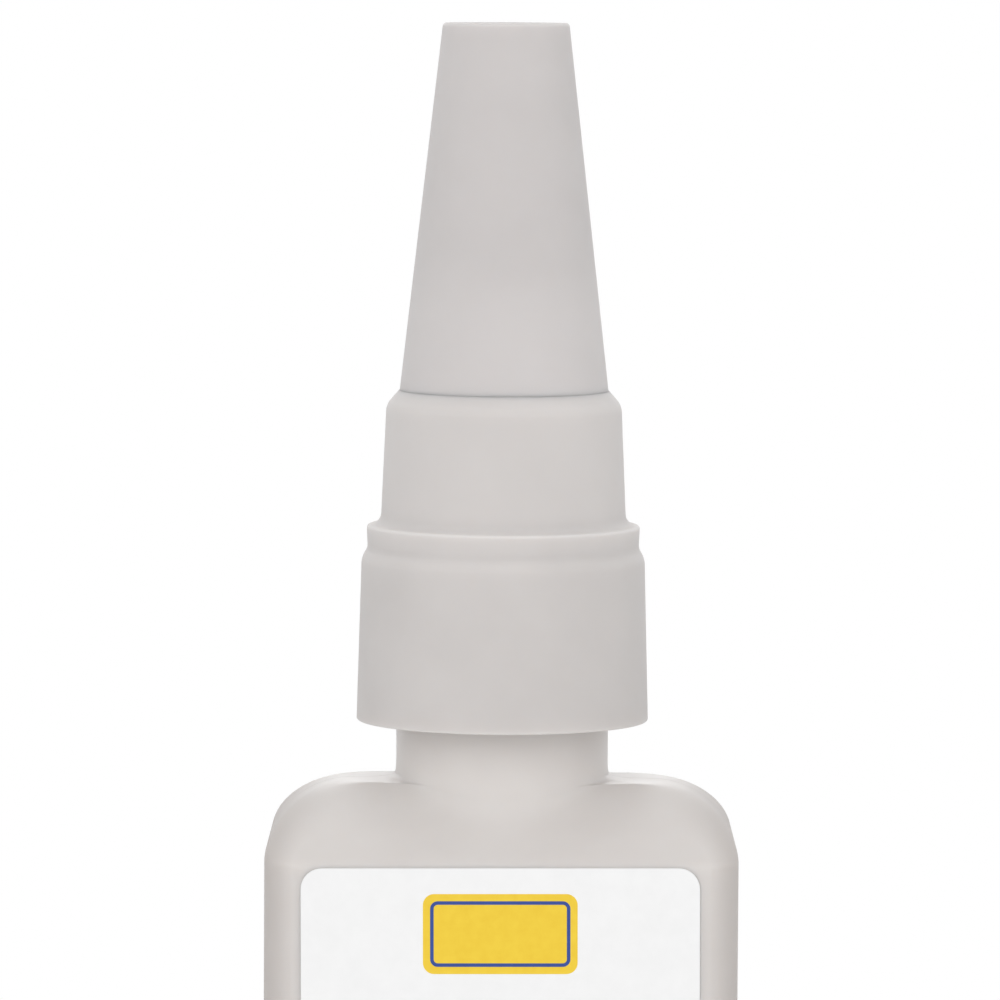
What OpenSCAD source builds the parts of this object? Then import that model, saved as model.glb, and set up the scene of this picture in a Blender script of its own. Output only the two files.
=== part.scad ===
// Flat squeeze bottle for a liquid adhesive, with a screw-on nozzle and a tall push-on overcap.
// Millimetres. +Z is up, the label faces -Y, the origin is the middle of the foot.

/* [Bottle] */
// width across the label
body_w = 29.55; // [28:0.05:36]
// depth from the label to the back
body_d = 20; // [18:0.5:24]
// height of the shoulder crown, where the neck starts
body_h = 59.65; // [52:0.05:80]
// rounding of the four upright edges
edge_r = 2.35; // [1.6:0.05:2.4]
// rounding of the plan corners at the top of the shoulder
crown_edge_r = 1.6; // [1.4:0.1:2.4]
// rounding around the foot
foot_r = 2; // [1.6:0.1:3]
// wall thickness of the body
wall_t = 1; // [0.7:0.05:1.2]
// height of the shoulder curve at the two narrow sides
shoulder_h = 4.3; // [3.5:0.1:6]
// height of the shoulder curve at the front and back
shoulder_front_h = 4.5; // [2.4:0.1:6]
// width of the crown that stays level at the top of the shoulder
crown_w = 19.5; // [14:0.5:22]
// depth of the crown that stays level
crown_d = 6; // [5:0.5:12]
// fullness of the shoulder curve at the narrow sides, where 2 is an ellipse and more is squarer
shoulder_power = 1.8; // [1.6:0.05:3]
// fullness of the shoulder curve at the front and back, where 1 is a straight slope
shoulder_front_power = 1.4; // [1:0.05:2.5]
// height of the hollow under the foot
foot_hollow_h = 0.8; // [0.4:0.1:1.2]
// width of the ring that the bottle stands on, measured at the widest outline
foot_ring_w = 4; // [3.2:0.1:5]
// how far the sides of that hollow lean inward
foot_hollow_lean_w = 0.8; // [0.4:0.1:1.2]

/* [Neck] */
// outside diameter of the neck
neck_d = 13.4; // [12.8:0.1:14]
// height of the neck from the shoulder crown to its lip
neck_h = 14.55; // [13:0.05:16]
// bore of the neck
bore_d = 10.2; // [9.6:0.1:10.6]
// how far the flare at the foot of the neck reaches above and below the crown
flare_h = 0.35; // [0.2:0.05:0.8]
// how much further out the foot of the flare is
flare_w = 0.25; // [0.1:0.05:0.5]
// chamfer on the lip
lip_chamfer_w = 0.3; // [0.2:0.05:0.5]

/* [Label] */
// distance from the side of the bottle to the label
label_margin_w = 2.4; // [2.4:0.05:5]
// distance from the foot to the label
label_foot_gap = 5; // [4:0.5:10]
// distance from the front of the shoulder curve down to the label
label_top_gap = 0.05; // [0:0.05:4]
// rounding of the label corners
label_r = 1.3; // [0.6:0.1:3]
// thickness of the label film
label_t = 0.1; // [0.06:0.01:0.2]

/* [Adhesive] */
// height of the liquid above the inside floor
fill_h = 39; // [20:0.5:42]

/* [Nozzle] */
// length of neck left bare under the skirt
neck_show_h = 3.7; // [2.5:0.05:5]
// room between the neck and the skirt, where the screw thread runs
thread_room_w = 0.8; // [0.7:0.05:0.9]
// wall thickness of the skirt under its top chamfer
skirt_t = 1.44; // [1.2:0.02:1.8]
// how much further out the rim of the skirt is
skirt_draft_w = 0.28; // [0.1:0.02:0.5]
// height of the chamfer on top of the skirt
skirt_chamfer_h = 0.54; // [0.4:0.02:1]
// width of that chamfer
skirt_chamfer_w = 0.38; // [0.2:0.02:0.5]
// rounding of the rim of the skirt
rim_r = 0.25; // [0.15:0.05:0.4]
// height of the ring on the deck
deck_h = 1.48; // [1.2:0.02:2]
// how much further out the top of that ring is
deck_flare_w = 0.07; // [0.02:0.01:0.12]
// ledge between that ring and the collar
deck_ledge_w = 0.88; // [0.7:0.02:1.1]
// height of the collar
collar_h = 8.45; // [7.5:0.05:10]
// how much further in the top of the collar is
collar_draft_w = 0.33; // [0.1:0.01:0.5]
// wall thickness of the collar at its top
collar_t = 1.27; // [1.2:0.01:1.4]
// fillet at the root of the collar
collar_fillet_r = 0.5; // [0.25:0.05:0.6]
// chamfer on top of the collar
collar_chamfer_w = 0.85; // [0.5:0.05:0.9]
// rounding under that chamfer
collar_edge_r = 0.4; // [0.2:0.05:0.6]
// height of the socket floor above the deck ring
socket_floor_h = 0.6; // [0.3:0.1:1]
// room between the root of the spout and the spigot of the overcap
spout_room_w = 0.65; // [0.5:0.05:0.9]
// wall thickness of the spout at its root
spout_t = 1.1; // [0.9:0.05:1.3]
// diameter of the spout at its tip
spout_tip_d = 3; // [2.6:0.1:3.2]
// diameter of the outlet
outlet_d = 1.2; // [1.1:0.05:1.4]
// length of the straight outlet
outlet_h = 4; // [2:0.1:5]
// length of the plug inside the neck
plug_h = 3.5; // [2.5:0.1:5]
// wall thickness of the plug
plug_t = 1.1; // [0.9:0.05:1.3]
// chamfer on the end of the plug
plug_chamfer_w = 0.4; // [0.2:0.05:0.6]

/* [Overcap] */
// height of the cone
cap_h = 23.1; // [20:0.05:28]
// step from the collar in to the rim of the cone
cap_step_w = 0.83; // [0.7:0.005:0.84]
// diameter of the cone at its top
cap_top_d = 7.94; // [7.6:0.02:8.6]
// rounding around the top
cap_edge_r = 0.4; // [0.2:0.05:0.6]
// rounding of the rim
cap_rim_r = 0.1; // [0.1:0.05:0.3]
// thickness of the closed top around the seat
cap_top_t = 2.4; // [2:0.1:3]
// wall thickness of the spigot in the collar
spigot_t = 1.05; // [0.9:0.05:1.1]
// room left under the spigot
spigot_room_h = 2.3; // [1:0.1:4]
// wall thickness of the seat around the spout tip
seat_t = 0.6; // [0.5:0.05:0.7]
// depth of the seat over the spout tip
seat_h = 1.2; // [0.8:0.1:2]
// room around the seat under the closed top
seat_room_w = 0.3; // [0.2:0.05:0.4]

/* [Anti-clog pin] */
// diameter of the pin
pin_d = 0.8; // [0.6:0.05:0.9]
// length of the pin held in the overcap
pin_held_h = 3.6; // [3:0.1:4]
// thickness of the overcap left over the pin
pin_cover_h = 1.5; // [1:0.1:2]
// length of the pin inside the spout
pin_reach_h = 9; // [5:0.5:12]
// length of the point on the pin
pin_point_h = 0.6; // [0.3:0.1:1]

/* [Fits] */
// gap between the plug and the neck
plug_gap = 0.05; // [0.03:0.01:0.1]
// gap between the lip of the neck and the deck
lip_gap = 0.03; // [0.02:0.01:0.1]
// gap between the spigot and its socket
spigot_gap = 0.05; // [0.03:0.01:0.1]
// gap between the rim of the overcap and the collar
rim_gap = 0.08; // [0.05:0.01:0.3]
// gap around and above the spout tip in its seat
seat_gap = 0.12; // [0.08:0.01:0.2]
// gap around the pin where it is held
pin_gap = 0.01; // [0.005:0.005:0.03]
// gap between the liquid and the wall
fill_gap = 0.05; // [0.03:0.01:0.1]

/* [Hidden] */
overrun = 1;
least_flat_w = 0.02;
shoulder_steps = 12;
foot_steps = 5;
least_r_share = 0.25;
arc_steps = 6;
corner_steps = 9;
round_fn = 96;

floor_z = foot_hollow_h + wall_t;
fill_z = floor_z + fill_h;
lip_z = body_h + neck_h;
neck_r = neck_d / 2;
bore_r = bore_d / 2;
shoulder_drop_h = max(shoulder_h, shoulder_front_h);
label_w = body_w - 2 * label_margin_w;
label_top_z = body_h - shoulder_front_h - label_top_gap;
label_h = label_top_z - label_foot_gap;

skirt_low_z = body_h + neck_show_h;
deck_z = lip_z + lip_gap;
deck_top_z = deck_z + deck_h;
socket_floor_z = deck_top_z + socket_floor_h;
collar_top_z = deck_top_z + collar_h;
plug_low_z = deck_z - plug_h;
skirt_bore_r = neck_r + thread_room_w;
skirt_top_r = skirt_bore_r + skirt_t;
skirt_low_r = skirt_top_r + skirt_draft_w;
deck_low_r = skirt_top_r - skirt_chamfer_w;
deck_r = deck_low_r + deck_flare_w;
collar_low_r = deck_r - deck_ledge_w;
collar_top_r = collar_low_r - collar_draft_w;
socket_r = collar_top_r - collar_t;
plug_r = bore_r - plug_gap;
plug_bore_r = plug_r - plug_t;

cap_low_z = collar_top_z + rim_gap;
cap_top_z = cap_low_z + cap_h;
ceiling_z = cap_top_z - cap_top_t;
pin_top_z = cap_top_z - pin_cover_h;
seat_z = pin_top_z - pin_held_h;
tip_z = seat_z - seat_gap;
seat_low_z = tip_z - seat_h;
pin_low_z = tip_z - pin_reach_h;
spigot_low_z = socket_floor_z + spigot_room_h;
cap_low_r = collar_top_r - cap_step_w;
cap_top_r = cap_top_d / 2;
spigot_r = socket_r - spigot_gap;
spigot_bore_r = spigot_r - spigot_t;
spout_low_r = spigot_bore_r - spout_room_w;
spout_tip_r = spout_tip_d / 2;
channel_r = spout_low_r - spout_t;
tip_lean_share = (spout_low_r - spout_tip_r) / (tip_z - socket_floor_z);
seat_r = spout_tip_r + seat_h * tip_lean_share + seat_gap;
seat_out_r = seat_r + seat_t;
ceiling_r = seat_out_r + seat_room_w;

// points of an arc from angle a to angle b
function arc(x, y, r, a, b, steps = arc_steps) =
    [for (i = [0 : steps])
        let (turn = a + (b - a) * i / steps)
        [x + r * cos(turn), y + r * sin(turn)]];

// half of a shoulder section, a given drop below the crown
function shoulder_half(full, crown, drop, height, power, root) =
    let (left_share = 1 - min(drop / height, 1))
    let (reach_share = pow(1 - pow(left_share, power), 1 / root))
    crown / 2 + (full - crown) / 2 * reach_share;

// points around a rounded rectangle, given by its half sizes
function outline(half_w, half_d, r) =
    let (x = half_w - r)
    let (y = half_d - r)
    concat(
        arc(x, y, r, 0, 90, corner_steps),
        arc(-x, y, r, 90, 180, corner_steps),
        arc(-x, -y, r, 180, 270, corner_steps),
        arc(x, -y, r, 270, 360, corner_steps)
    );

// the same points at a height
function ring(half_w, half_d, r, z) = [for (p = outline(half_w, half_d, r)) [p[0], p[1], z]];

// rings that round the body off at its foot, from the bottom up
function foot_rings(inset, low_z) =
    [for (i = [0 : foot_steps])
        let (turn = 90 * i / foot_steps)
        let (tuck = (foot_r - inset) * (1 - sin(turn)))
        let (rise = (foot_r - inset) * (1 - cos(turn)))
        let (r = max(edge_r - inset - tuck, least_r_share * edge_r))
        ring(body_w / 2 - inset - tuck, body_d / 2 - inset - tuck, r, low_z + rise)];

// rings of the shoulder, from the straight wall up to the crown
function shoulder_rings(inset) =
    [for (i = [shoulder_steps : -1 : 0])
        let (drop = shoulder_drop_h * (1 - cos(90 * i / shoulder_steps)))
        let (half_w = shoulder_half(body_w, crown_w, drop, shoulder_h, shoulder_power, shoulder_power))
        let (half_d = shoulder_half(body_d, crown_d, drop, shoulder_front_h, shoulder_front_power, 1))
        let (corner_r = edge_r + (crown_edge_r - edge_r) * (1 - drop / shoulder_drop_h))
        let (r = min(corner_r, half_d - least_flat_w))
        ring(half_w - inset, half_d - inset, r - inset, body_h - inset - drop)];

// solid skinned over rings of equal point count, from the bottom up
module loft(rings) {
    count = len(rings[0]);
    last = len(rings) - 1;
    polyhedron(
        points = [for (points = rings) each points],
        faces = concat(
            [[for (k = [0 : count - 1]) k]],
            [[for (k = [count - 1 : -1 : 0]) last * count + k]],
            [for (j = [0 : last - 1], k = [0 : count - 1])
                [j * count + k, (j + 1) * count + k, (j + 1) * count + (k + 1) % count]],
            [for (j = [0 : last - 1], k = [0 : count - 1])
                [j * count + k, (j + 1) * count + (k + 1) % count, j * count + (k + 1) % count]]
        )
    );
}

// body without its neck, or the hollow that lies an inset further in
module body_form(inset, low_z) {
    loft(concat(foot_rings(inset, low_z), shoulder_rings(inset)));
}

// hollow under the foot, which leaves a ring to stand on
module foot_hollow() {
    half_w = body_w / 2 - foot_ring_w;
    half_d = body_d / 2 - foot_ring_w;
    lean = foot_hollow_lean_w;
    loft([
        ring(half_w + lean, half_d + lean, edge_r, -foot_hollow_h),
        ring(half_w - lean, half_d - lean, edge_r - lean, foot_hollow_h)
    ]);
}

// neck as a solid of revolution, flared where it grows out of the shoulder
module neck_form() {
    root_z = body_h - shoulder_front_h;
    rotate_extrude($fn = round_fn)
        polygon([
            [0, root_z],
            [neck_r + flare_w, root_z],
            [neck_r + flare_w, body_h - flare_h],
            [neck_r, body_h + flare_h],
            [neck_r, lip_z - lip_chamfer_w],
            [neck_r - lip_chamfer_w, lip_z],
            [0, lip_z]
        ]);
}

module bottle() {
    color("#d6d2ce")
        difference() {
            union() {
                body_form(0, 0);
                neck_form();
            }
            body_form(wall_t, floor_z);
            translate([0, 0, body_h - shoulder_drop_h])
                cylinder(h = shoulder_drop_h + neck_h + overrun, r = bore_r, $fn = round_fn);
            foot_hollow();
        }
}

// liquid up to its level, which lies below the shoulder
module adhesive() {
    inset = wall_t + fill_gap;
    color("#e9ecec")
        loft(concat(
            foot_rings(inset, floor_z + fill_gap),
            [ring(body_w / 2 - inset, body_d / 2 - inset, edge_r - inset, fill_z)]
        ));
}

module front_label() {
    color("#f3f3f3")
        translate([0, -body_d / 2, label_foot_gap + label_h / 2])
            rotate([90, 0, 0])
                linear_extrude(height = label_t) {
                    square([label_w - 2 * label_r, label_h], center = true);
                    square([label_w, label_h - 2 * label_r], center = true);
                    for (x = [-1, 1], z = [-1, 1])
                        translate([x * (label_w / 2 - label_r), z * (label_h / 2 - label_r)])
                            circle(r = label_r, $fn = round_fn);
                }
}

// skirt, deck, collar, spout and plug are one moulding, so they are one profile
module nozzle() {
    rim_z = skirt_low_z + rim_r;
    chamfer_z = deck_z - skirt_chamfer_h;
    root_z = deck_top_z + collar_fillet_r;
    edge_z = collar_top_z - collar_chamfer_w - collar_edge_r * (sin(45) + cos(45) - 1);
    color("#cfcbc8")
        rotate_extrude($fn = round_fn)
            polygon(concat(
                [[skirt_bore_r, deck_z]],
                arc(skirt_bore_r + rim_r, rim_z, rim_r, 180, 270),
                arc(skirt_low_r - rim_r, rim_z, rim_r, -90, 0),
                [[skirt_top_r, chamfer_z], [deck_low_r, deck_z], [deck_r, deck_top_z]],
                arc(collar_low_r + collar_fillet_r, root_z, collar_fillet_r, 270, 180),
                arc(collar_top_r - collar_edge_r, edge_z, collar_edge_r, 0, 45),
                [[collar_top_r - collar_chamfer_w, collar_top_z], [socket_r, collar_top_z]],
                [[socket_r, socket_floor_z], [spout_low_r, socket_floor_z], [spout_tip_r, tip_z]],
                [[outlet_d / 2, tip_z], [outlet_d / 2, tip_z - outlet_h], [channel_r, socket_floor_z]],
                [[plug_bore_r, deck_z], [plug_bore_r, plug_low_z], [plug_r - plug_chamfer_w, plug_low_z]],
                [[plug_r, plug_low_z + plug_chamfer_w], [plug_r, deck_z]]
            ));
}

// hollow cone with a spigot below its rim, and a seat for the spout tip under its closed top
module overcap() {
    color("#d0cdca")
        difference() {
            rotate_extrude($fn = round_fn)
                polygon(concat(
                    [[spigot_bore_r, spigot_low_z], [spigot_r, spigot_low_z], [spigot_r, cap_low_z]],
                    arc(cap_low_r - cap_rim_r, cap_low_z + cap_rim_r, cap_rim_r, -90, 0),
                    arc(cap_top_r - cap_edge_r, cap_top_z - cap_edge_r, cap_edge_r, 0, 90),
                    [[0, cap_top_z], [0, seat_z], [seat_r, seat_z], [seat_r, seat_low_z]],
                    [[seat_out_r, seat_low_z], [seat_out_r, ceiling_z], [ceiling_r, ceiling_z]],
                    [[spigot_bore_r, cap_low_z]]
                ));
            translate([0, 0, seat_z - overrun])
                cylinder(h = pin_held_h + overrun, d = pin_d + 2 * pin_gap, $fn = round_fn);
        }
}

module anti_clog_pin() {
    color("#b9bcc0")
        rotate_extrude($fn = round_fn)
            polygon([
                [0, pin_low_z],
                [pin_d / 4, pin_low_z],
                [pin_d / 2, pin_low_z + pin_point_h],
                [pin_d / 2, pin_top_z],
                [0, pin_top_z]
            ]);
}

bottle();
adhesive();
front_label();
nozzle();
overcap();
anti_clog_pin();
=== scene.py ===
import math

import bmesh
import bpy
from mathutils import Matrix


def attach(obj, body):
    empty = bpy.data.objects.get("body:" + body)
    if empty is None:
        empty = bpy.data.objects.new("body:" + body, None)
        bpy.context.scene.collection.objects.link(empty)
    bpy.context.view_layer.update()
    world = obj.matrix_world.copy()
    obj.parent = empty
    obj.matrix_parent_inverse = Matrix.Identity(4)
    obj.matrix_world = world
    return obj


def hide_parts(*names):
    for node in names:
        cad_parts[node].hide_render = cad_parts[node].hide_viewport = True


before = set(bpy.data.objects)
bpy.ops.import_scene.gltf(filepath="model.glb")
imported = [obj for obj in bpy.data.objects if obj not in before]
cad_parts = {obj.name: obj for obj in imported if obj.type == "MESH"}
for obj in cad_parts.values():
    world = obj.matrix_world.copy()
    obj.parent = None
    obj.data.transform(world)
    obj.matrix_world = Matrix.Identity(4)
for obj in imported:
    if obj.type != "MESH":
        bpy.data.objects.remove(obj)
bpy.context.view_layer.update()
mm = 0.001    # sizes are written in millimetres, and Blender takes metres
print("frame loaded:", ", ".join(sorted(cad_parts)))

mergeGap = 0.0005    # millimetres, well under the thinnest ink
axisGap = 1e-6    # a corner this close to the axis lies on it
noiseLow, noiseHigh = 0.3, 0.7    # most of a noise texture's values lie between these

# the Mix node's sockets go by number: two values in and one out, two colours in and one out
valueUnder, valueOver, valueMixed = 2, 3, 0
colourUnder, colourOver, colourMixed = 6, 7, 2


# sRGB hex to the linear numbers that the shaders take
def hexColour(code):
    channels = [int(code[i:i + 2], 16) / 255 for i in (1, 3, 5)]
    linear = [c / 12.92 if c <= 0.04045 else ((c + 0.055) / 1.055) ** 2.4 for c in channels]
    return (*linear, 1.0)


# one node with its settings; an input takes a value or another node's output, a colour ramp its stops
def addNode(tree, kind, settings=None, inputs=None, stops=()):
    node = tree.nodes.new(kind)
    for name, value in (settings or {}).items():
        setattr(node, name, value)
    for name, value in (inputs or {}).items():
        if isinstance(value, bpy.types.NodeSocket):
            tree.links.new(value, node.inputs[name])
        else:
            node.inputs[name].default_value = value
    for index, (position, code) in enumerate(stops):
        node.color_ramp.elements[index].position = position
        node.color_ramp.elements[index].color = hexColour(code)
    return node


# an empty material, its node tree and the Object coordinates that its patterns lie on
def startMaterial(name):
    material = bpy.data.materials.new(name)
    material.use_nodes = True
    tree = material.node_tree
    tree.nodes.clear()
    return material, tree, addNode(tree, "ShaderNodeTexCoord").outputs["Object"]


# pieces are modelled in millimetres and stored in metres, with their place in the mesh
def addPiece(name, bm, material, body, node=None, sharpAngle=40):
    bmesh.ops.remove_doubles(bm, verts=bm.verts, dist=mergeGap)
    bmesh.ops.recalc_face_normals(bm, faces=bm.faces)
    for face in bm.faces:
        face.smooth = True
    for edge in bm.edges:
        edge.smooth = edge.calc_face_angle(0) < math.radians(sharpAngle)
    bmesh.ops.scale(bm, vec=(mm, mm, mm), verts=bm.verts)
    mesh = bpy.data.meshes.new(name)
    bm.to_mesh(mesh)
    bm.free()
    mesh.materials.append(material)
    piece = bpy.data.objects.new(name, mesh)
    bpy.context.scene.collection.objects.link(piece)
    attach(piece, body)
    if node:
        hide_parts(node)
    print("piece:", name, len(mesh.polygons), "faces")


# named corners of (radius, height, rounding), rounded and spun about the bottle's axis
def turnedShape(corners, steps=160, segments=6):
    bm = bmesh.new()
    verts = [bm.verts.new((radius, 0, height)) for radius, height, _ in corners.values()]
    bm.faces.new(verts)
    for vert, (_, _, rounding) in zip(verts, corners.values()):
        if rounding:
            bmesh.ops.bevel(bm, geom=[vert], offset=rounding, offset_type="OFFSET", segments=segments,
                            profile=0.5, affect="VERTICES", material=-1)
    bmesh.ops.delete(bm, geom=bm.faces[:], context="FACES_ONLY")
    onAxis = [edge for edge in bm.edges if max(vert.co.x for vert in edge.verts) < axisGap]
    bmesh.ops.delete(bm, geom=onAxis, context="EDGES")
    bmesh.ops.spin(bm, geom=bm.verts[:] + bm.edges[:], cent=(0, 0, 0), axis=(0, 0, 1), dvec=(0, 0, 0),
                   angle=math.tau, steps=steps, use_merge=True, use_duplicate=False)
    return bm


# screw ridge of a flat-topped section that runs out at both ends, down to its thinnest share
def threadRidge(thread, stepsPerTurn=72, thinnest=0.05):
    root, crest = thread["root"], thread["crest"]
    halfFoot, halfCrest = thread["footWidth"] / 2, thread["crestWidth"] / 2
    section = [(root, -halfFoot), (crest, -halfCrest), (crest, halfCrest), (root, halfFoot)]
    bm = bmesh.new()
    face = bm.faces.new([bm.verts.new((radius, 0, thread["low"] + height)) for radius, height in section])
    steps = round(thread["turns"] * stepsPerTurn)
    bmesh.ops.spin(bm, geom=[face, *face.edges, *face.verts], cent=(0, 0, 0), axis=(0, 0, 1),
                   dvec=(0, 0, thread["pitch"] / stepsPerTurn), angle=math.tau * thread["turns"],
                   steps=steps, use_duplicate=False)
    bm.verts.index_update()
    for vert in bm.verts:
        along = (vert.index // len(section)) / steps
        fade = max(thinnest, min(1, along / thread["runOut"], (1 - along) / thread["runOut"]))
        reach = math.hypot(vert.co.x, vert.co.y)
        squeeze = (root + (reach - root) * fade) / reach
        vert.co.x *= squeeze
        vert.co.y *= squeeze
    return bm


# the cap's spigot and the spout stand inside here, and the thicker stack looks whiter
def innerStack(tree, spot, finish, colour):
    above = addNode(tree, "ShaderNodeMath", {"operation": "SUBTRACT"}, {
        0: spot["Z"], 1: finish["denseMiddle"] * mm})
    off = addNode(tree, "ShaderNodeMath", {"operation": "ABSOLUTE"}, {0: above.outputs[0]})
    stack = addNode(tree, "ShaderNodeMapRange", {"interpolation_type": "SMOOTHSTEP"}, {
        "Value": off.outputs[0], "From Min": finish["denseFull"] * mm, "From Max": finish["denseGone"] * mm,
        "To Min": finish["denseShare"], "To Max": 0})
    return addNode(tree, "ShaderNodeMix", {"data_type": "RGBA"}, {
        "Factor": stack.outputs[0], colourUnder: colour,
        colourOver: hexColour(finish["dense"])}).outputs[colourMixed]


# painted shade: the body's side corners are darkened towards a grey and rubbed to less shine;
# below the shoulder the whole wall is painted a little darker than the shoulder
def paintedShadeAndRub(tree, spot, finish, colour, dull):
    aside = addNode(tree, "ShaderNodeMath", {"operation": "ABSOLUTE"}, {0: spot["X"]})
    outward = addNode(tree, "ShaderNodeMapRange", {"clamp": True}, {
        "Value": aside.outputs[0], "From Min": finish["coreHalf"] * mm, "From Max": finish["outerHalf"] * mm})
    upward = addNode(tree, "ShaderNodeMapRange", {"clamp": True}, {
        "Value": spot["Z"], "From Min": finish["coreTop"] * mm, "From Max": finish["outerTop"] * mm})
    corner = addNode(tree, "ShaderNodeCombineXYZ", None, {"X": outward.outputs[0], "Y": upward.outputs[0]})
    reach = addNode(tree, "ShaderNodeVectorMath", {"operation": "LENGTH"}, {0: corner.outputs[0]})
    rim = addNode(tree, "ShaderNodeMapRange", {"interpolation_type": "SMOOTHSTEP"}, {
        "Value": reach.outputs["Value"], "From Min": finish["cornerShadeFrom"], "From Max": 1,
        "To Min": 0, "To Max": 1})
    flank = addNode(tree, "ShaderNodeMapRange", {"interpolation_type": "SMOOTHSTEP"}, {
        "Value": outward.outputs[0], "From Min": 0, "From Max": finish["flankTo"],
        "To Min": 0, "To Max": 1})
    # painted shade mask of the side corners, which also roughens them
    shadedRubbedCorner = addNode(tree, "ShaderNodeMath", {"operation": "MULTIPLY"}, {
        0: rim.outputs[0], 1: flank.outputs[0]})
    dimmed = addNode(tree, "ShaderNodeMath", {"operation": "MULTIPLY"}, {
        0: shadedRubbedCorner.outputs[0], 1: finish["cornerShadeShare"]})
    # painted shade: the wall below the shoulder is darker than the shoulder
    lowerShade = addNode(tree, "ShaderNodeMapRange", {"interpolation_type": "SMOOTHSTEP"}, {
        "Value": spot["Z"], "From Min": finish["lowerShadeFrom"] * mm, "From Max": finish["lowerShadeTo"] * mm,
        "To Min": finish["lowerShadeShare"], "To Max": 0})
    shade = addNode(tree, "ShaderNodeMath", {"operation": "MAXIMUM"}, {
        0: dimmed.outputs[0], 1: lowerShade.outputs[0]})
    shaded = addNode(tree, "ShaderNodeMix", {"data_type": "RGBA"}, {
        "Factor": shade.outputs[0], colourUnder: colour, colourOver: hexColour(finish["shadedRubbedCorner"])})
    rubbed = addNode(tree, "ShaderNodeMix", {"data_type": "FLOAT"}, {
        "Factor": shadedRubbedCorner.outputs[0], valueUnder: dull, valueOver: finish["rubbedTo"]})
    return shaded.outputs[colourMixed], rubbed.outputs[valueMixed]


# fine raised line where the two halves of the mould meet, on the middle plane of the sides
def partingSeam(tree, spot, finish, relief):
    offPlane = addNode(tree, "ShaderNodeMath", {"operation": "ABSOLUTE"}, {0: spot["Y"]})
    seam = addNode(tree, "ShaderNodeMapRange", {"interpolation_type": "SMOOTHSTEP"}, {
        "Value": offPlane.outputs[0], "From Min": 0, "From Max": finish["seamWidth"] / 2 * mm,
        "To Min": 1, "To Max": 0})
    return addNode(tree, "ShaderNodeBump", None, {
        "Height": seam.outputs[0], "Strength": 1, "Distance": finish["seamHeight"] * mm,
        "Normal": relief}).outputs[0]


# natural polyethylene or polypropylene: undyed and milky, so light sinks in and edges glow softly;
# cloudy where the melt cooled unevenly, with the fine blasted texture of its mould
def milkyPlastic(name, finish):
    material, tree, place = startMaterial(name)
    spot = addNode(tree, "ShaderNodeSeparateXYZ", None, {"Vector": place}).outputs
    cloud = addNode(tree, "ShaderNodeTexNoise", None, {
        "Vector": place, "Scale": 1 / (finish["cloudSize"] * mm), "Detail": 3, "Roughness": 0.5})
    colour = addNode(tree, "ShaderNodeValToRGB", None, {"Fac": cloud.outputs["Fac"]},
                     ((noiseLow, finish["deep"]), (noiseHigh, finish["pale"]))).outputs["Color"]
    patches = addNode(tree, "ShaderNodeTexNoise", None, {
        "Vector": place, "Scale": 1 / (finish["rubSize"] * mm), "Detail": 4, "Roughness": 0.65})
    dull = addNode(tree, "ShaderNodeMapRange", None, {
        "Value": patches.outputs["Fac"], "From Min": noiseLow, "From Max": noiseHigh,
        "To Min": finish["smoothest"], "To Max": finish["roughest"]}).outputs[0]
    grain = addNode(tree, "ShaderNodeTexNoise", None, {
        "Vector": place, "Scale": 1 / (finish["grainSize"] * mm), "Detail": 2, "Roughness": 0.6})
    relief = addNode(tree, "ShaderNodeBump", None, {
        "Height": grain.outputs["Fac"], "Strength": 1, "Distance": finish["grainDepth"] * mm}).outputs[0]
    if "dense" in finish:
        colour = innerStack(tree, spot, finish, colour)
    # painted shade on the bottle's side corners and lower body
    if "shadedRubbedCorner" in finish:
        colour, dull = paintedShadeAndRub(tree, spot, finish, colour, dull)
    if "seamWidth" in finish:
        relief = partingSeam(tree, spot, finish, relief)
    shader = addNode(tree, "ShaderNodeBsdfPrincipled", {"subsurface_method": "RANDOM_WALK"}, {
        "Base Color": colour, "Roughness": dull, "IOR": finish["ior"], "Normal": relief,
        "Subsurface Weight": finish["scatter"], "Subsurface Scale": finish["scatterDepth"] * mm,
        "Subsurface Radius": (1.0, 0.95, 0.9)})    # red sinks in a little deeper than blue
    addNode(tree, "ShaderNodeOutputMaterial", None, {"Surface": shader.outputs[0]})
    return material


# printing ink and label film: level colour, slightly mottled by the press, satin varnish on top
def printedFilm(name, finish):
    material, tree, place = startMaterial(name)
    mottle = addNode(tree, "ShaderNodeTexNoise", None, {
        "Vector": place, "Scale": 1 / (finish["mottleSize"] * mm), "Detail": 4, "Roughness": 0.6})
    tint = addNode(tree, "ShaderNodeValToRGB", None, {"Fac": mottle.outputs["Fac"]},
                   ((noiseLow, finish["deep"]), (noiseHigh, finish["pale"])))
    gloss = addNode(tree, "ShaderNodeMapRange", None, {
        "Value": mottle.outputs["Fac"], "From Min": noiseLow, "From Max": noiseHigh,
        "To Min": finish["smoothest"], "To Max": finish["roughest"]})
    ripple = addNode(tree, "ShaderNodeTexNoise", None, {
        "Vector": place, "Scale": 1 / (finish["rippleSize"] * mm), "Detail": 1})
    relief = addNode(tree, "ShaderNodeBump", None, {
        "Height": ripple.outputs["Fac"], "Strength": 1, "Distance": finish["rippleDepth"] * mm})
    shader = addNode(tree, "ShaderNodeBsdfPrincipled", None, {
        "Base Color": tint.outputs["Color"], "Roughness": gloss.outputs[0], "IOR": finish["ior"],
        "Normal": relief.outputs[0]})
    addNode(tree, "ShaderNodeOutputMaterial", None, {"Surface": shader.outputs[0]})
    return material


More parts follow.
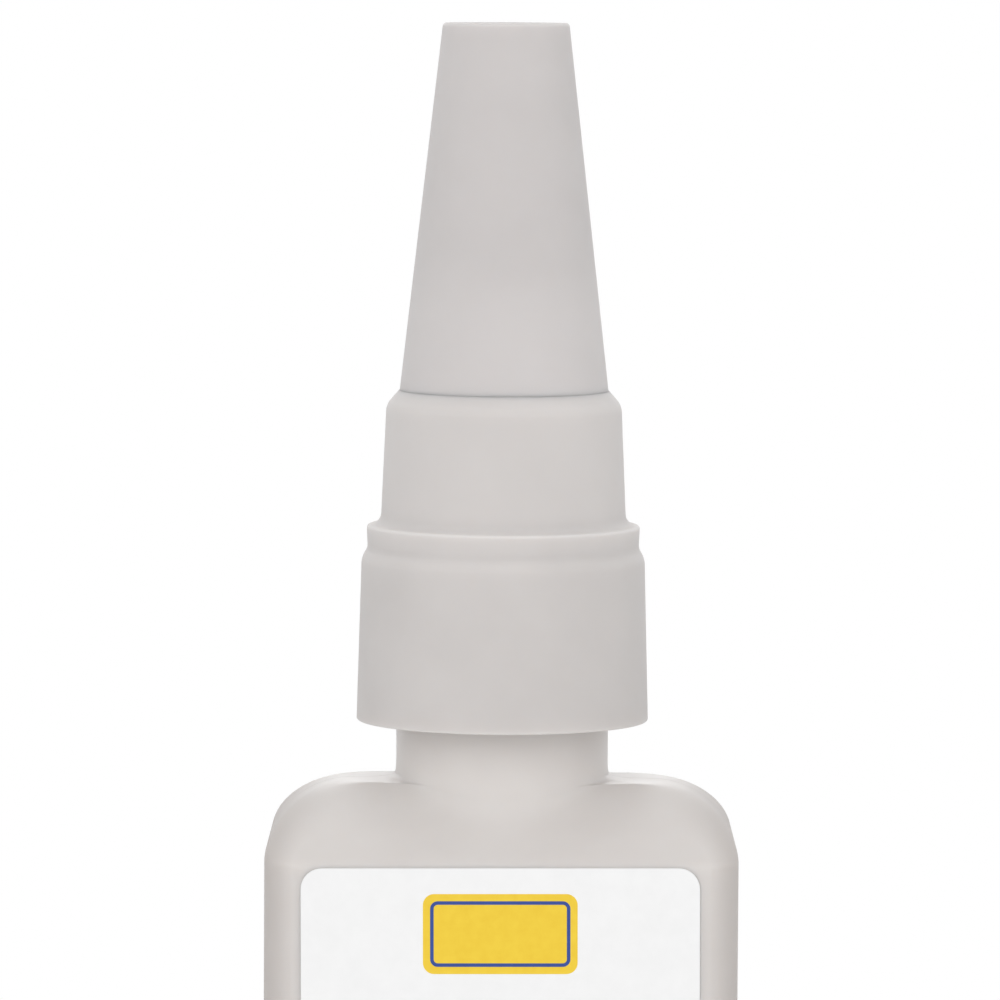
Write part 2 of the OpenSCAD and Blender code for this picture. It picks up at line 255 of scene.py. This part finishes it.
# stainless spring wire: bright, with fine draw marks that run along the wire
def drawnSteel(name, finish):
    material, tree, place = startMaterial(name)
    stretched = addNode(tree, "ShaderNodeMapping", None, {
        "Vector": place, "Scale": (1, 1, 1 / finish["markLength"])})
    marks = addNode(tree, "ShaderNodeTexNoise", None, {
        "Vector": stretched.outputs[0], "Scale": 1 / (finish["markWidth"] * mm), "Detail": 3})
    tint = addNode(tree, "ShaderNodeValToRGB", None, {"Fac": marks.outputs["Fac"]},
                   ((0, finish["deep"]), (1, finish["pale"])))
    gloss = addNode(tree, "ShaderNodeMapRange", None, {
        "Value": marks.outputs["Fac"], "To Min": finish["smoothest"], "To Max": finish["roughest"]})
    relief = addNode(tree, "ShaderNodeBump", None, {
        "Height": marks.outputs["Fac"], "Strength": 1, "Distance": finish["markDepth"] * mm})
    shader = addNode(tree, "ShaderNodeBsdfPrincipled", None, {
        "Base Color": tint.outputs["Color"], "Metallic": 1, "Roughness": gloss.outputs[0],
        "Normal": relief.outputs[0]})
    addNode(tree, "ShaderNodeOutputMaterial", None, {"Surface": shader.outputs[0]})
    return material


# cyanoacrylate: water-clear liquid, with a faint straw tint that gathers in streaks
def clearLiquid(name, finish):
    material, tree, place = startMaterial(name)
    streaks = addNode(tree, "ShaderNodeTexNoise", None, {
        "Vector": place, "Scale": 1 / (finish["streakSize"] * mm), "Detail": 2})
    tint = addNode(tree, "ShaderNodeValToRGB", None, {"Fac": streaks.outputs["Fac"]},
                   ((0, finish["deep"]), (1, finish["pale"])))
    shader = addNode(tree, "ShaderNodeBsdfPrincipled", None, {
        "Base Color": tint.outputs["Color"], "Roughness": finish["roughness"], "IOR": finish["ior"],
        "Transmission Weight": finish["clear"]})
    addNode(tree, "ShaderNodeOutputMaterial", None, {"Surface": shader.outputs[0]})
    return material


# sizes and heights in millimetres; the grit of these moulds is near 0.05, drawn coarser so that it shows
naturalHdpe = milkyPlastic("natural_hdpe_blow_moulded", {    # satin; painted shade darkens its side corners and its body below the shoulder
    "pale": "#E1DDDA", "deep": "#DBD6D3", "cloudSize": 9, "grainSize": 0.3, "grainDepth": 0.004,
    "rubSize": 2.5, "smoothest": 0.28, "roughest": 0.4, "ior": 1.54, "scatter": 1, "scatterDepth": 0.8,
    # painted shade: side corners and the body below the shoulder mix towards this darker colour
    "shadedRubbedCorner": "#B8B1AD", "coreHalf": 9.75, "outerHalf": 14.78, "coreTop": 55.35, "outerTop": 59.65,
    "cornerShadeFrom": 0.45, "flankTo": 0.95, "cornerShadeShare": 0.68, "rubbedTo": 0.8,
    "lowerShadeFrom": 55.4, "lowerShadeTo": 57.2, "lowerShadeShare": 0.13,
    "seamWidth": 0.3, "seamHeight": 0.05})
naturalLdpe = milkyPlastic("natural_ldpe_injection_moulded", {    # duller and greyer than the bottle
    "pale": "#D5D1CF", "deep": "#CFCBC9", "cloudSize": 7, "grainSize": 0.25, "grainDepth": 0.003,
    "rubSize": 2, "smoothest": 0.6, "roughest": 0.72, "ior": 1.51, "scatter": 1, "scatterDepth": 1,
    "dense": "#E0DCDA", "denseMiddle": 82, "denseFull": 5, "denseGone": 11, "denseShare": 0.33})
naturalPp = milkyPlastic("natural_polypropylene_injection_moulded", {    # as dull, a shade cooler
    "pale": "#D3CFCE", "deep": "#CDC9C8", "cloudSize": 7, "grainSize": 0.25, "grainDepth": 0.003,
    "rubSize": 2, "smoothest": 0.6, "roughest": 0.72, "ior": 1.49, "scatter": 1, "scatterDepth": 1,
    "dense": "#E0DCDB", "denseMiddle": 82, "denseFull": 5, "denseGone": 14, "denseShare": 0.33})
whiteFilm = printedFilm("white_polypropylene_label_film", {
    "pale": "#F6F6F6", "deep": "#F3F3F3", "mottleSize": 1.2, "smoothest": 0.4, "roughest": 0.5,
    "rippleSize": 4, "rippleDepth": 0.004, "ior": 1.49})
yellowInk = printedFilm("yellow_flexo_ink", {
    "pale": "#F4D13A", "deep": "#EFC92F", "mottleSize": 0.6, "smoothest": 0.38, "roughest": 0.5,
    "rippleSize": 4, "rippleDepth": 0.004, "ior": 1.5})
blueInk = printedFilm("blue_flexo_ink", {
    "pale": "#2B4C9A", "deep": "#264490", "mottleSize": 0.6, "smoothest": 0.38, "roughest": 0.5,
    "rippleSize": 4, "rippleDepth": 0.004, "ior": 1.5})
# real draw marks are a few thousandths wide and are drawn coarser; their length is in widths
pinSteel = drawnSteel("stainless_steel_drawn_wire", {
    "pale": "#C9CBCD", "deep": "#B4B6B9", "markWidth": 0.05, "markDepth": 0.002, "markLength": 25,
    "smoothest": 0.18, "roughest": 0.34})
glueLiquid = clearLiquid("clear_cyanoacrylate_liquid", {
    "pale": "#FBFCFB", "deep": "#F4F6F2", "streakSize": 8, "clear": 0.9, "roughness": 0.02, "ior": 1.45})
print("materials made:", len(bpy.data.materials))

# blow-moulded bottle: flat body, domed shoulder, round neck, in millimetres
bottle = {
    "width": 29.55, "depth": 20, "bodyHeight": 59.65, "wall": 1,
    "edge": 2.35, "crownEdge": 1.6, "footEdge": 0.5875,    # corners of the body, seen from above
    "sideDrop": 4.3, "frontDrop": 4.5, "crownWidth": 19.5, "crownDepth": 6,    # domed shoulder
    "sidePower": 1.8, "frontPower": 1.4, "crownSteps": (0.15, 0.5),
    "footRound": 2, "standRing": 4, "hollowRise": 0.8,
    # hollow of the foot: step out from the standing ring's inside, corner, share of the rise
    "hollow": ((-0.9, 2, 1), (-0.4, 2.2, 0.85), (0, 2.5, 0.2), (0.4, 2.7, 0)),
    "neck": 13.4, "neckHeight": 14.55, "bore": 10.2, "flareRise": 1.1, "flare": 0.15,
    "neckRises": (0, 0.15, 0.3, 0.5, 0.7, 0.9, 1.1, 1.4, 3, 7, 11),
    # rounded lip and then the bore: step from the wall, drop below the lip
    "lipRings": ((0, 0.3), (0.04, 0.15), (0.15, 0.04), (0.3, 0)),
    "boreRings": ((0.15, 0), (0.04, 0.04), (0, 0.15), (0, 4), (0, 9), (0, 14.9)),
    "rootBlend": 3.0, "easeRise": 1.3, "easeReach": 1.5, "easePasses": 5,    # where the neck grows out
    "around": 288, "footSteps": 8, "wallRings": 14, "shoulderRings": 34,
    "innerShoulderRings": 16, "innerFootSteps": 5,
}


# even steps of a quarter turn, from level to upright
def quarterTurn(steps):
    return [math.pi / 2 * i / steps for i in range(steps + 1)]


# where a ray from the axis meets a rounded rectangle
def wallReach(turn, halfW, halfD, edge):
    across, deep = abs(math.cos(turn)), abs(math.sin(turn))
    if halfW * deep <= (halfD - edge) * across:
        return halfW / across
    if halfD * across <= (halfW - edge) * deep:
        return halfD / deep
    x, y = halfW - edge, halfD - edge
    return x * across + y * deep + math.sqrt(max(0, edge ** 2 - (x * deep - y * across) ** 2))


# the larger of two reaches, with a fillet where they meet
def filleted(first, second, blend):
    share = max(blend - abs(first - second), 0) / blend
    return max(first, second) + share * share * blend / 4


# half size of the domed shoulder at a drop below the crown
def domeHalf(full, crown, drop, height, power, root):
    left = 1 - min(drop / height, 1)
    return crown / 2 + (full - crown) / 2 * (1 - left ** power) ** (1 / root)


# radius of the neck at a height above the crown, with its flared foot
def neckReach(rise):
    share = min(max((bottle["flareRise"] - rise) / (2 * bottle["flareRise"]), 0), 1)
    return bottle["neck"] / 2 + bottle["flare"] * share * share * (3 - 2 * share)


# one ring of the rounded foot, on the outside or set in by the wall
def footRing(turn, inset):
    b = bottle
    rounding = b["footRound"] - inset
    tuck, rise = rounding * (1 - math.sin(turn)), rounding * (1 - math.cos(turn))
    base = b["hollowRise"] + b["wall"] if inset else 0    # the inside stands on the floor over the hollow
    return (b["width"] / 2 - inset - tuck, b["depth"] / 2 - inset - tuck,
            max(b["edge"] - inset - tuck, b["footEdge"]), 0, base + rise)


# one ring of the shoulder: rounded rectangle of the dome, cut through by the neck
def shoulderRing(turn, inset):
    b = bottle
    drop = b["frontDrop"] * (1 - math.cos(turn))
    halfW = domeHalf(b["width"], b["crownWidth"], drop, b["sideDrop"], b["sidePower"], b["sidePower"])
    halfD = domeHalf(b["depth"], b["crownDepth"], drop, b["frontDrop"], b["frontPower"], 1)
    corner = b["edge"] + (b["crownEdge"] - b["edge"]) * (1 - drop / b["frontDrop"])
    neck = b["bore"] / 2 if inset else neckReach(-drop)
    return (halfW - inset, halfD - inset, corner - inset, neck, b["bodyHeight"] - inset - drop)


# all rings, from the hollow foot up the outside and down the inside to the floor:
# (half width, half depth, corner, neck radius, height), with 0 where there is no body or no neck
def bottleRings():
    b = bottle
    halfW, halfD, top = b["width"] / 2, b["depth"] / 2, b["bodyHeight"]
    wallTop, lip = top - b["frontDrop"], top + b["neckHeight"]
    inW, inD = halfW - b["standRing"], halfD - b["standRing"]
    rings = [(inW + step, inD + step, corner, 0, b["hollowRise"] * share)
             for step, corner, share in b["hollow"]]
    rings += [footRing(turn, 0) for turn in quarterTurn(b["footSteps"])]
    for i in range(1, b["wallRings"]):
        rise = b["footRound"] + (wallTop - b["footRound"]) * i / b["wallRings"]
        rings.append((halfW, halfD, b["edge"], 0, rise))
    rings += [shoulderRing(turn, 0) for turn in reversed(quarterTurn(b["shoulderRings"]))]
    for step in b["crownSteps"]:    # level crown
        rings.append((b["crownWidth"] / 2 - step, b["crownDepth"] / 2 - step, b["crownEdge"] - step,
                      neckReach(0), top))
    rings += [(0, 0, 0, neckReach(rise), top + rise) for rise in b["neckRises"]]
    rings += [(0, 0, 0, b["neck"] / 2 - tuck, lip - drop) for tuck, drop in b["lipRings"]]
    rings += [(0, 0, 0, b["bore"] / 2 + tuck, lip - drop) for tuck, drop in b["boreRings"]]
    rings += [shoulderRing(turn, b["wall"]) for turn in quarterTurn(b["innerShoulderRings"])]
    rings += [footRing(turn, b["wall"]) for turn in reversed(quarterTurn(b["innerFootSteps"]))]
    return rings


bm = bmesh.new()
bmesh.ops.create_circle(bm, cap_ends=True, segments=bottle["around"], radius=1)
loop, root = bm.edges[:], []
for index, (halfW, halfD, edge, neck, height) in enumerate(bottleRings()):
    if index:
        made = bmesh.ops.extrude_edge_only(bm, edges=loop)["geom"]
        verts = {item for item in made if isinstance(item, bmesh.types.BMVert)}
        loop = [item for item in made if isinstance(item, bmesh.types.BMEdge) and set(item.verts) <= verts]
    else:
        verts = set(bm.verts)
    nearCrown = abs(height - bottle["bodyHeight"]) < bottle["easeRise"]
    outside = neck > bottle["bore"] / 2 + bottle["wall"]
    for vert in verts:
        turn = math.atan2(vert.co.y, vert.co.x)
        reach = wallReach(turn, halfW, halfD, edge) if halfW else 0
        if neck and reach:
            reach = filleted(reach, neck, bottle["rootBlend"])
        reach = reach or neck
        vert.co = (reach * math.cos(turn), reach * math.sin(turn), height)
        if nearCrown and outside and reach < neck + bottle["easeReach"]:
            root.append(vert)
bmesh.ops.contextual_create(bm, geom=loop)    # closes the floor inside
for step in range(bottle["easePasses"]):    # the crown's corners run softly into the neck
    bmesh.ops.smooth_vert(bm, verts=root, factor=0.5, use_axis_x=True, use_axis_y=True, use_axis_z=True)
addPiece("bottle_shell", bm, naturalHdpe, "bottle", "bottle")

# neck thread: low and flat-topped, kept clear of the thread in the skirt so that the nozzle lifts straight off
neckThread = {"root": 6.62, "crest": 7.12, "low": 67.2, "pitch": 2.1, "turns": 2.2,
              "footWidth": 1.15, "crestWidth": 0.45, "runOut": 0.1}
addPiece("neck_thread", threadRidge(neckThread), naturalHdpe, "bottle")

# nozzle: skirt, deck, collar, spout and plug in one moulding; (radius, height, rounding)
nozzle = {
    "skirtRoof": (7.5, 74.2, 0.2), "skirtMouth": (7.5, 63.35, 0.2),
    "skirtFoot": (9.22, 63.35, 0.15), "skirtTop": (8.94, 73.69, 0.4),
    "deckFoot": (8.56, 74.23, 0.25), "deckTop": (8.63, 75.71, 0.2),
    "collarFoot": (7.75, 75.71, 0.7), "collarSide": (7.42, 83.31, 0.4), "collarTop": (6.63, 84.2, 0.01),
    "rebateEdge": (6.605, 84.2, 0), "rebateFloor": (6.605, 84.16, 0),    # narrow, under the cap's rim
    "socketMouth": (6.15, 84.16, 0.12), "socketFloor": (6.15, 76.31, 0.2),
    "spoutFoot": (4.4, 76.31, 0.3), "spoutTip": (1.5, 102.12, 0.15),
    "outlet": (0.6, 102.12, 0.08), "outletEnd": (0.6, 98.12, 0),
    "channelFoot": (3.3, 76.31, 0.3), "plugBoreTop": (3.95, 74.23, 0), "plugBoreMouth": (3.95, 70.73, 0.15),
    "plugTip": (4.65, 70.73, 0.15), "plugSide": (5.05, 71.13, 0.2), "plugRoot": (5.05, 74.23, 0.1),
}
addPiece("nozzle_moulding", turnedShape(nozzle), naturalLdpe, "nozzle", "nozzle")
skirtThread = {"root": 7.55, "crest": 7.2, "low": 65.6, "pitch": 2.1, "turns": 2.6,
               "footWidth": 0.9, "crestWidth": 0.35, "runOut": 0.1}
addPiece("skirt_thread", threadRidge(skirtThread), naturalLdpe, "nozzle")

# overcap: hollow cone with a spigot under its rim, a seat for the spout tip and a sunk gate mark on top
overcap = {
    "gateMiddle": (0, 107.28, 0), "gateEdge": (0.35, 107.28, 0.08), "gateFoot": (0.45, 107.14, 0),
    "dimpleFloor": (1.1, 107.14, 0.1), "dimpleEdge": (1.3, 107.34, 0.08),
    "coneTop": (3.97, 107.34, 0.22), "coneRim": (6.59, 84.165, 0.02),
    "spigotRoot": (6.1, 84.165, 0.05), "spigotFoot": (6.1, 78.61, 0.25), "spigotMouth": (5.05, 78.61, 0.1),
    "hollowFoot": (5.05, 84.24, 0), "hollowTop": (2.655, 104.94, 0.15),
    "seatRoot": (2.355, 104.94, 0.1), "seatFoot": (2.355, 100.92, 0.1), "seatMouth": (1.755, 100.92, 0.15),
    "seatEdge": (1.755, 102.24, 0.1), "seatMiddle": (0, 102.24, 0),
}
addPiece("overcap_cone", turnedShape(overcap), naturalPp, "overcap", "overcap")

# wire that keeps the outlet open, pressed into the overcap's closed top
pin = {
    "topMiddle": (0, 105.84, 0), "topEdge": (0.4, 105.84, 0.05), "taperStart": (0.4, 93.72, 0.2),
    "tipEdge": (0.2, 93.12, 0.08), "tipMiddle": (0, 93.12, 0),
}
addPiece("anti_clog_wire", turnedShape(pin, steps=48, segments=3), pinSteel, "overcap",
         "anti_clog_pin")

# label of white film, with an empty title panel printed on it, in millimetres
label = {
    "width": 24.75, "low": 5, "top": 55.15, "corner": 1.3, "back": 10, "film": 0.05, "ink": 0.005,
    "panelWidth": 9.6, "panelHeight": 5.0, "panelDrop": 4.1, "panelCorner": 0.7,
    "keyline": 0.22, "keylineInset": 0.45, "aside": -0.07, "askew": math.radians(-0.33),
    "cornerSegments": 10, "sharpAngle": 30,
}


# flat rounded panel on the front of the body, from its back outwards, a hair askew like the label
def frontPanel(width, height, middle, corner, back, thickness):
    bm = bmesh.new()
    bmesh.ops.create_grid(bm, x_segments=1, y_segments=1, size=0.5)
    bmesh.ops.scale(bm, vec=(width, height, 1), verts=bm.verts)
    bmesh.ops.bevel(bm, geom=bm.verts[:], offset=corner, offset_type="OFFSET",
                    segments=label["cornerSegments"], profile=0.5, affect="VERTICES", material=-1)
    made = bmesh.ops.extrude_face_region(bm, geom=bm.faces[:])["geom"]
    front = [item for item in made if isinstance(item, bmesh.types.BMVert)]
    bmesh.ops.translate(bm, vec=(0, 0, thickness), verts=front)
    upright, askew = Matrix.Rotation(math.pi / 2, 3, "X"), Matrix.Rotation(label["askew"], 3, "Y")
    bmesh.ops.rotate(bm, cent=(0, 0, 0), matrix=upright, verts=bm.verts)
    bmesh.ops.translate(bm, vec=(label["aside"], -back, middle), verts=bm.verts)
    bmesh.ops.rotate(bm, cent=(0, 0, label["top"]), matrix=askew, verts=bm.verts)
    return bm


# a panel's front and back, the only faces with more than four corners
def flatSides(bm):
    return [face for face in bm.faces if len(face.verts) > 4]


film = frontPanel(label["width"], label["top"] - label["low"], (label["low"] + label["top"]) / 2,
                  label["corner"], label["back"], label["film"])
addPiece("label_film", film, whiteFilm, "bottle", "front_label", label["sharpAngle"])
titleMiddle = label["top"] - label["panelDrop"]
inkBack = label["back"] + label["film"]
panel = frontPanel(label["panelWidth"], label["panelHeight"], titleMiddle, label["panelCorner"],
                   inkBack, label["ink"])
addPiece("title_panel", panel, yellowInk, "bottle", None, label["sharpAngle"])
inset = label["keylineInset"]
keyline = frontPanel(label["panelWidth"] - 2 * inset, label["panelHeight"] - 2 * inset, titleMiddle,
                     label["panelCorner"] - inset / 2, inkBack + label["ink"], label["ink"])
bmesh.ops.inset_region(keyline, faces=flatSides(keyline), thickness=label["keyline"], use_even_offset=True)
bmesh.ops.delete(keyline, geom=flatSides(keyline), context="FACES_ONLY")
bmesh.ops.bridge_loops(keyline, edges=[edge for edge in keyline.edges if edge.is_boundary])
addPiece("title_keyline", keyline, blueInk, "bottle", None, label["sharpAngle"])

# the liquid stays as the CAD node
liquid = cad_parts["adhesive"]
liquid.data.materials.clear()
liquid.data.materials.append(glueLiquid)
print("liquid dressed:", liquid.name)


# 1 for rays that show the background, straight or in a shine or through glass, and 0 for those that light
def seenRays(tree):
    rays = addNode(tree, "ShaderNodeLightPath").outputs
    clear = addNode(tree, "ShaderNodeMath", {"operation": "MAXIMUM"}, {
        0: rays["Is Glossy Ray"], 1: rays["Is Transmission Ray"]})
    return addNode(tree, "ShaderNodeMath", {"operation": "MAXIMUM"}, {
        0: rays["Is Camera Ray"], 1: clear.outputs[0]}).outputs[0]


# pale floor that fades into the white background away from the object and keeps its shadow, in metres
stage = {"floor": "#F2F2F2", "white": "#FFFFFF", "size": 2.0,
         "fadeStart": 0.06, "fadeEnd": 0.24, "fadeLeast": 0.35}
floorMaterial, tree, place = startMaterial("white_studio_floor")
far = addNode(tree, "ShaderNodeVectorMath", {"operation": "LENGTH"}, {0: place})
fade = addNode(tree, "ShaderNodeMapRange", {"interpolation_type": "SMOOTHSTEP"}, {
    "Value": far.outputs["Value"], "From Min": stage["fadeStart"], "From Max": stage["fadeEnd"],
    "To Min": stage["fadeLeast"], "To Max": 1})
share = addNode(tree, "ShaderNodeMath", {"operation": "MULTIPLY"}, {0: fade.outputs[0], 1: seenRays(tree)})
paint = addNode(tree, "ShaderNodeBsdfDiffuse", None, {"Color": hexColour(stage["floor"])})
white = addNode(tree, "ShaderNodeEmission", None, {"Color": hexColour(stage["white"]), "Strength": 1})
mixed = addNode(tree, "ShaderNodeMixShader", None, {
    "Fac": share.outputs[0], 1: paint.outputs[0], 2: white.outputs[0]})
addNode(tree, "ShaderNodeOutputMaterial", None, {"Surface": mixed.outputs[0]})
bm = bmesh.new()
bmesh.ops.create_grid(bm, x_segments=1, y_segments=1, size=stage["size"] / 2)
mesh = bpy.data.meshes.new("floor")
bm.to_mesh(mesh)
bm.free()
mesh.materials.append(floorMaterial)
floor = bpy.data.objects.new("floor", mesh)
bpy.context.scene.collection.objects.link(floor)

# white surroundings to the camera, plain soft light to the object; power in watts, places in metres
light = {
    "ambient": 0.7,
    "softboxes": {    # a mirrored one shows in a shine
        "key_softbox": {"power": 1.92, "size": (0.6, 0.5), "mirrored": False,
                        "spot": (-0.03, -0.75, 0.55), "aim": (0, 0, 0.06)},
        "fill_softbox": {"power": 0.48, "size": (0.6, 0.18), "mirrored": False,
                         "spot": (0, -0.8, 0.1), "aim": (0, 0, 0.07)},
        "back_softbox": {"power": 1.24, "size": (1.2, 0.3), "mirrored": True,
                         "spot": (0, 0.8, 0.35), "aim": (0, 0, 0.06)},
    },
}
world = bpy.data.worlds.new("studio")
world.use_nodes = True
bpy.context.scene.world = world
tree = world.node_tree
tree.nodes.clear()
soft = addNode(tree, "ShaderNodeBackground", None, {
    "Color": hexColour(stage["white"]), "Strength": light["ambient"]})
plain = addNode(tree, "ShaderNodeBackground", None, {"Color": hexColour(stage["white"]), "Strength": 1})
mixed = addNode(tree, "ShaderNodeMixShader", None, {
    "Fac": seenRays(tree), 1: soft.outputs[0], 2: plain.outputs[0]})
addNode(tree, "ShaderNodeOutputWorld", None, {"Surface": mixed.outputs[0]})

for name, softbox in light["softboxes"].items():
    lamp = bpy.data.lights.new(name, "AREA")
    lamp.shape = "RECTANGLE"
    lamp.size, lamp.size_y = softbox["size"]
    lamp.energy = softbox["power"]
    away = [there - here for there, here in zip(softbox["spot"], softbox["aim"])]
    turn = math.atan2(away[0], -away[1])
    lean = math.atan2(math.hypot(away[0], away[1]), away[2])
    box = bpy.data.objects.new(name, lamp)
    box.matrix_world = (Matrix.Translation(softbox["spot"]) @ Matrix.Rotation(turn, 4, "Z")
                        @ Matrix.Rotation(lean, 4, "X"))
    box.visible_camera = False
    box.visible_glossy = softbox["mirrored"]
    bpy.context.scene.collection.objects.link(box)

# the photograph's camera: slightly above the cap, turned down, rolled by a third of a degree;
# metres and degrees, lens and sensor in millimetres
view = {"distance": 0.440, "height": 0.1112, "side": -0.00022, "pitch": 4.41, "roll": 0.334,
        "lens": 251.6, "sensor": 36, "nearest": 0.01, "farthest": 20}
camera = bpy.data.cameras.new("camera")
camera.lens = view["lens"]
camera.sensor_width = view["sensor"]
camera.clip_start, camera.clip_end = view["nearest"], view["farthest"]
eye = bpy.data.objects.new("camera", camera)
eye.matrix_world = (Matrix.Translation((view["side"], -view["distance"], view["height"]))
                    @ Matrix.Rotation(math.radians(90 - view["pitch"]), 4, "X")
                    @ Matrix.Rotation(math.radians(view["roll"]), 4, "Z"))
bpy.context.scene.collection.objects.link(eye)
bpy.context.scene.camera = eye
bpy.context.scene.view_settings.view_transform = "Standard"
print("stage, lights and camera set")
